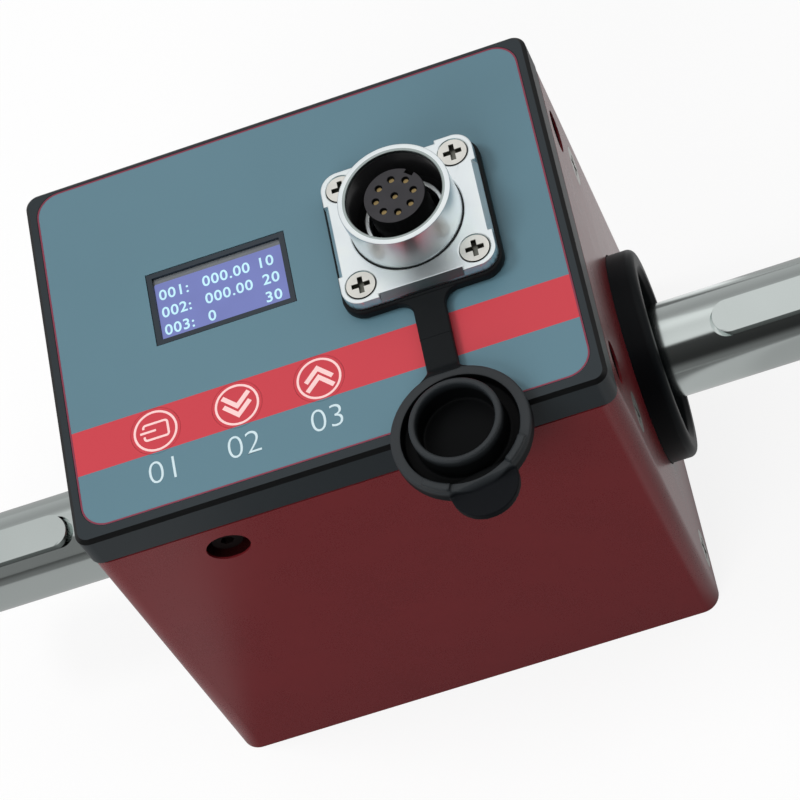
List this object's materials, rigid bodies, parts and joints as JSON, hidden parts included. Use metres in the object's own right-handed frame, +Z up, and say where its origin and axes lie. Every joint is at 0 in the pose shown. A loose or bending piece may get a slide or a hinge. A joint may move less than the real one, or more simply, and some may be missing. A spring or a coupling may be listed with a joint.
{
  "type": "rotary torque sensor",
  "caption": "Rotary torque sensor: block housing with a through shaft on ball bearings, keyed shaft ends, display panel with membrane keys and a flanged socket with a strapped dust cap.",
  "frame": {"origin": "middle of the base face", "axes": "+X along the shaft to the side of the socket, +Y to the back, +Z up"},
  "size_m": [0.188, 0.0931, 0.1015],
  "materials": {
    "red_anodised": "satin anodised",
    "lid_black": "fine satin",
    "film": "printed satin film",
    "key_film": "printed satin film",
    "display_frame": "gloss",
    "display_glass": "lit glass",
    "circuit_board": "solder mask",
    "black_plastic": "moulded",
    "nickel": "bright plated",
    "insert_grey": "moulded",
    "gold": "gold plated",
    "screw_nickel": "plated",
    "screw_black": "black oxide",
    "rubber": "moulded matt",
    "black_anodised": "satin anodised",
    "bearing_steel": "ground",
    "cage_brass": "pressed",
    "shaft_steel": "ground",
    "foil": "bonded foil",
    "ferrite": "pressed",
    "copper": "enamelled wire"
  },
  "bodies": {
    "housing": {"housing": "red_anodised", "lid": "lid_black", "lid_seal": "rubber", "lid_screws": "screw_black", "panel_film": "film", "display_frame": "display_frame", "display_glass": "display_glass", "display_board": "circuit_board", "key_board": "circuit_board", "key_switches": "black_plastic", "socket_shell": "nickel", "socket_insert": "insert_grey", "socket_contacts": "gold", "socket_screws": "screw_nickel", "socket_gasket": "rubber", "carrier_left": "black_anodised", "carrier_right": "black_anodised", "carrier_screws": "screw_nickel", "stator_bobbin": "ferrite", "stator_winding": "copper", "speed_pickup": "black_plastic", "main_board": "circuit_board", "board_parts": "black_plastic", "board_pillars": "gold", "board_screws": "screw_nickel", "bearing_outer_left": "bearing_steel", "bearing_balls_left": "bearing_steel", "bearing_cage_left": "cage_brass", "bearing_seals_left": "rubber", "bore_circlip_left": "bearing_steel", "bearing_outer_right": "bearing_steel", "bearing_balls_right": "bearing_steel", "bearing_cage_right": "cage_brass", "bearing_seals_right": "rubber", "bore_circlip_right": "bearing_steel"},
    "rotor": {"shaft": "shaft_steel", "shaft_key_left": "shaft_steel", "shaft_key_right": "shaft_steel", "strain_gauges": "foil", "rotor_bobbin": "ferrite", "rotor_winding": "copper", "rotor_board": "circuit_board", "speed_disc": "bearing_steel", "bearing_inner_left": "bearing_steel", "bearing_inner_right": "bearing_steel", "shaft_circlip_left": "bearing_steel", "shaft_circlip_right": "bearing_steel"},
    "strap": {"cap_strap": "rubber"},
    "cap": {"dust_cap": "rubber"},
    "key_1": {"key_1": "key_film"},
    "key_2": {"key_2": "key_film"},
    "key_3": {"key_3": "key_film"}
  },
  "joints": [
    {"name": "rotor_spin", "type": "hinge", "parent": "housing", "child": "rotor", "pos_m": [0, 0, 0.0325], "axis": [1, 0, 0], "continuous": true},
    {"name": "strap_bend", "type": "hinge", "parent": "housing", "child": "strap", "pos_m": [0.021, -0.01227, 0.0901], "axis": [-1, 0, 0], "range_deg": [0, 80], "stiffness_Nm_per_rad": 0.02},
    {"name": "cap_bend", "type": "hinge", "parent": "strap", "child": "cap", "pos_m": [0.021, -0.02728, 0.0901], "axis": [-1, 0, 0], "range_deg": [0, 60], "stiffness_Nm_per_rad": 0.02},
    {"name": "key_1_press", "type": "slide", "parent": "housing", "child": "key_1", "axis": [0, 0, -1], "range_m": [0, 0.0003], "stiffness_N_per_m": 5000},
    {"name": "key_2_press", "type": "slide", "parent": "housing", "child": "key_2", "axis": [0, 0, -1], "range_m": [0, 0.0003], "stiffness_N_per_m": 5000},
    {"name": "key_3_press", "type": "slide", "parent": "housing", "child": "key_3", "axis": [0, 0, -1], "range_m": [0, 0.0003], "stiffness_N_per_m": 5000}
  ]
}
